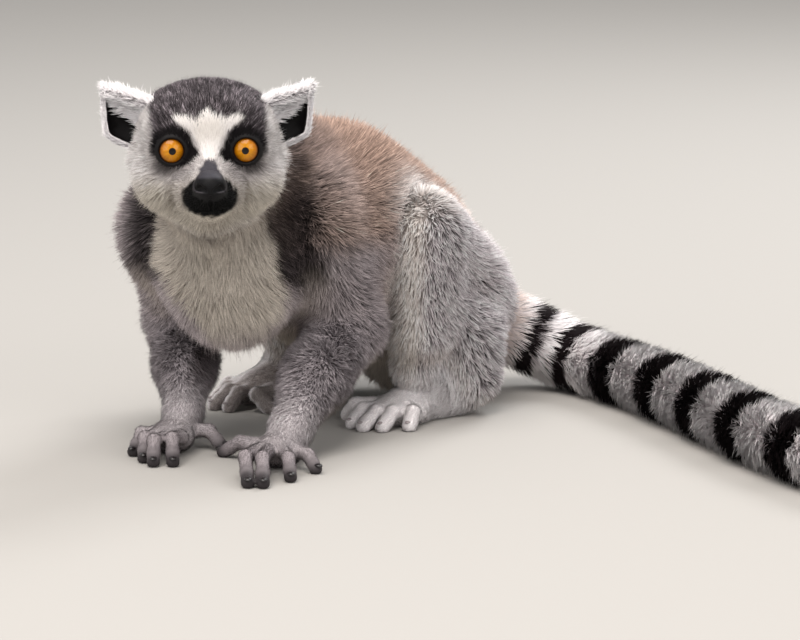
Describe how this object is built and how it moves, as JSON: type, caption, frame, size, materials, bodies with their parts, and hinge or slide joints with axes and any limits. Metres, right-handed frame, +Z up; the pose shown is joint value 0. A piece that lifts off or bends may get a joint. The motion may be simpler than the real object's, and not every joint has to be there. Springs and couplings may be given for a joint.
{
  "type": "ring-tailed lemur figure",
  "caption": "Life-size still figure of a ring-tailed lemur crouched on its haunches, hands on the floor, with its long ringed tail laid out beside it.",
  "frame": {"origin": "centre of the whole figure's footprint, on the floor that its hands, feet, rump and tail rest on", "axes": "+Z up; the face looks along -Y; +X is towards the animal's left, the side on which the tail is laid, and is the longest extent"},
  "size_m": [0.6108, 0.4016, 0.2168],
  "materials": {
    "face_coat": "fine short fur, pale cheeks and brow with a dark grey crown and black eye rings",
    "bare_skin": "moist, finely pebbled dark skin",
    "ear_coat": "thin fringed white fur over a dark inner ear",
    "breast_coat": "soft creamy white fur",
    "back_coat": "dense woolly pinkish-brown fur",
    "limb_coat": "dense short grey fur",
    "foot_coat": "very short pale fur with dark digit tips",
    "tail_coat": "long bushy fur in black and white rings",
    "eye": "polished, wet-looking amber eye with a small black pupil"
  },
  "bodies": {
    "root": {"head": "face_coat", "nose": "bare_skin", "ear_left": "ear_coat", "ear_right": "ear_coat", "eye_left": "eye", "eye_right": "eye", "neck": "breast_coat", "chest": "breast_coat", "belly": "back_coat", "rump": "back_coat", "upper_arm_left": "limb_coat", "forearm_left": "limb_coat", "hand_left": "foot_coat", "thigh_left": "limb_coat", "shin_left": "limb_coat", "foot_left": "foot_coat", "upper_arm_right": "limb_coat", "forearm_right": "limb_coat", "hand_right": "foot_coat", "thigh_right": "limb_coat", "shin_right": "limb_coat", "foot_right": "foot_coat", "tail_1": "tail_coat", "tail_2": "tail_coat", "tail_3": "tail_coat", "tail_4": "tail_coat", "tail_5": "tail_coat", "tail_6": "tail_coat", "tail_7": "tail_coat"}
  },
  "joints": []
}
